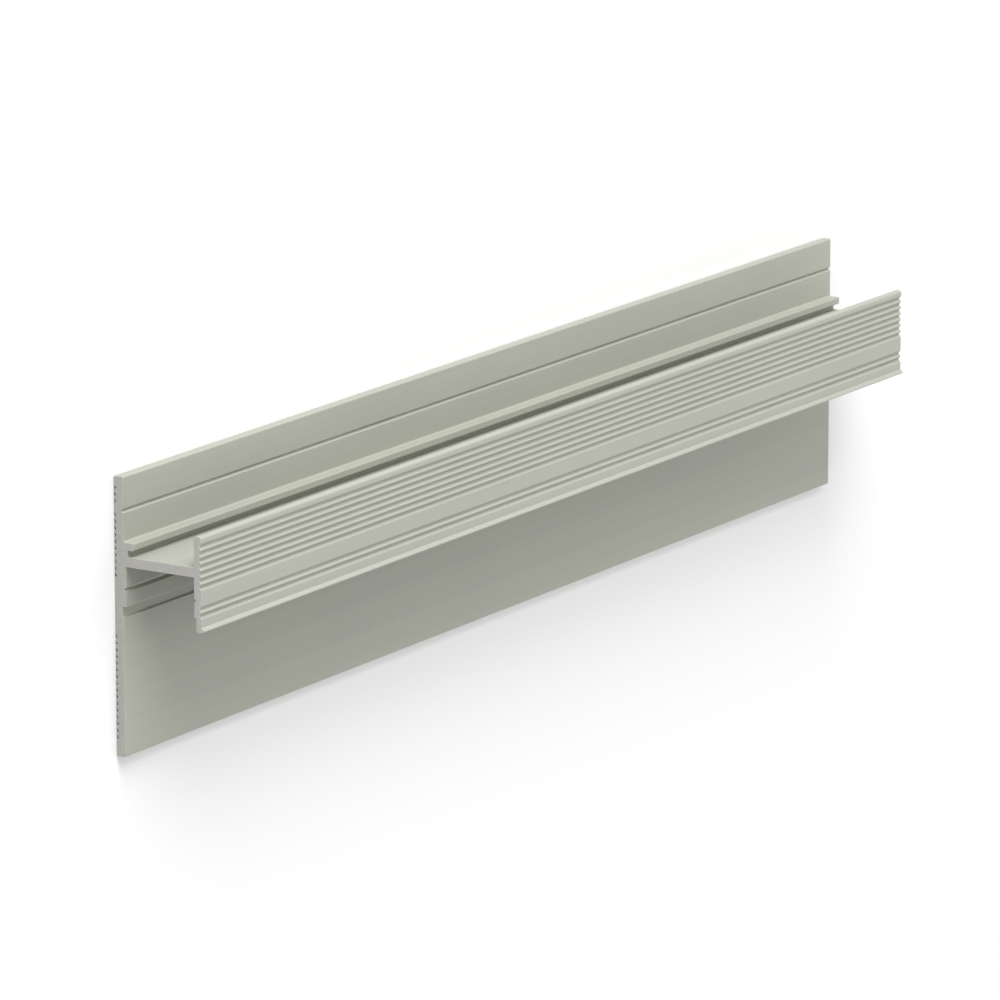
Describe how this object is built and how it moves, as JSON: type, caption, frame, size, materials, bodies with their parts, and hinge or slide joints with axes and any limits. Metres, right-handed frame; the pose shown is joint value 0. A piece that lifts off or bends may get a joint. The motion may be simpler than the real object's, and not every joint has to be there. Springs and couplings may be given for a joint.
{
  "type": "shadow gap skirting board",
  "caption": "Aluminium shadow gap skirting profile: a ribbed wall plate with a channel that takes the bottom edge of a wallboard and a recess under it",
  "frame": {"origin": "centre of the length and of the plate's height, on the wall face, which is also the level that the profile lies on", "axes": "+X along the length, +Y from the bottom edge to the top edge as fixed on a wall, +Z away from the wall"},
  "size_m": [0.246, 0.05, 0.0187],
  "materials": {
    "aluminium_satin": "satin anodised, with fine lines along the extrusion and plain sawn ends"
  },
  "bodies": {
    "root": {"skirting_profile": "aluminium_satin"}
  },
  "joints": []
}
